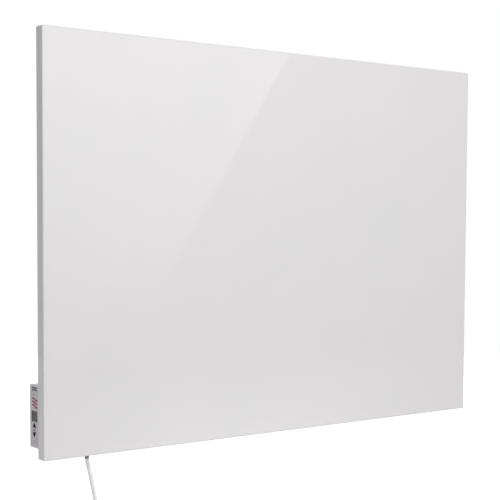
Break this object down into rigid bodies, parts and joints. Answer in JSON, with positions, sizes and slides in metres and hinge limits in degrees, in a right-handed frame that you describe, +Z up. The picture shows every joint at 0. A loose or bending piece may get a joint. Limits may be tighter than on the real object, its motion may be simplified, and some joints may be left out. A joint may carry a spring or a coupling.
{
  "type": "infrared panel heater",
  "caption": "Wall-hung infrared heating panel: shallow folded casing with a control box behind one lower corner, a display and push buttons on its side, and a mains lead.",
  "frame": {"origin": "on the wall, at the centre of the four keyhole entries, which is the panel's centre seen from the front", "axes": "+X to the right along the panel seen from the front, +Y into the wall, +Z up"},
  "size_m": [0.8409, 0.048, 0.8288],
  "materials": {
    "gloss_enamel": "gloss white enamel",
    "coated_sheet": "satin powder coat",
    "zinc_steel": "bright zinc plate",
    "mica_board": "pressed mica",
    "resistance_alloy": "etched alloy strip",
    "brass": "plain",
    "foil": "bright foil",
    "mineral_wool": "loose fibre",
    "black_plastic": "moulded",
    "silicone_lead": "smooth silicone",
    "black_rubber": "moulded rubber",
    "white_abs": "fine moulded grain",
    "label_film": "satin polyester film",
    "dark_lens": "smoked acrylic",
    "board_laminate": "solder mask",
    "relay_case": "moulded",
    "film_case": "moulded",
    "can_metal": "sleeved can",
    "fuse_glass": "clear tube, plated ends",
    "block_plastic": "moulded",
    "ribbon_pvc": "flat cable",
    "core_pvc": "core insulation",
    "arrow_plastic": "black keycap",
    "power_plastic": "light grey keycap",
    "relief_rubber": "dark grey moulded",
    "white_pvc": "smooth sheath",
    "tie_plastic": "coated wire tie",
    "plug_pvc": "moulded PVC",
    "nickel": "nickel plate"
  },
  "bodies": {
    "heater": {"front_panel": "gloss_enamel", "rear_cover": "coated_sheet", "cover_screws": "zinc_steel", "mica_front": "mica_board", "heating_track": "resistance_alloy", "element_terminals": "brass", "mica_rear": "mica_board", "thermal_cutout": "black_plastic", "element_leads": "silicone_lead", "reflector_foil": "foil", "insulation_mat": "mineral_wool", "lead_grommet": "black_rubber", "earth_tag": "brass", "earth_screw": "zinc_steel", "bracket_rivets": "zinc_steel", "control_base": "white_abs", "base_rivets": "zinc_steel", "control_cover": "white_abs", "box_screws": "zinc_steel", "fascia_label": "label_film", "display_window": "dark_lens", "display_module": "black_plastic", "display_board": "board_laminate", "display_screws": "zinc_steel", "temperature_sensor": "black_plastic", "key_switches": "black_plastic", "power_board": "board_laminate", "board_screws": "zinc_steel", "relay": "relay_case", "mains_capacitor": "film_case", "smoothing_capacitor": "can_metal", "fuse": "fuse_glass", "terminal_block": "block_plastic", "ribbon_cable": "ribbon_pvc", "supply_wires": "core_pvc", "strain_relief": "relief_rubber", "wall_bracket_lower_left": "zinc_steel", "wall_bracket_lower_right": "zinc_steel", "wall_bracket_upper_left": "zinc_steel", "wall_bracket_upper_right": "zinc_steel", "power_cord": "white_pvc", "cord_coil": "white_pvc", "cord_tail": "white_pvc", "cord_tie": "tie_plastic", "plug_body": "plug_pvc", "plug_pins": "nickel", "plug_earth_clips": "zinc_steel"},
    "button_up": {"button_up_cap": "arrow_plastic", "button_up_plunger": "black_plastic"},
    "button_down": {"button_down_cap": "arrow_plastic", "button_down_plunger": "black_plastic"},
    "button_power": {"button_power_cap": "power_plastic", "button_power_plunger": "black_plastic"}
  },
  "joints": [
    {"name": "button_up_press", "type": "slide", "parent": "heater", "child": "button_up", "axis": [1, 0, 0], "range_m": [0, 0.0005], "stiffness_N_per_m": 3000},
    {"name": "button_down_press", "type": "slide", "parent": "heater", "child": "button_down", "axis": [1, 0, 0], "range_m": [0, 0.0005], "stiffness_N_per_m": 3000},
    {"name": "button_power_press", "type": "slide", "parent": "heater", "child": "button_power", "axis": [1, 0, 0], "range_m": [0, 0.0005], "stiffness_N_per_m": 3000}
  ]
}
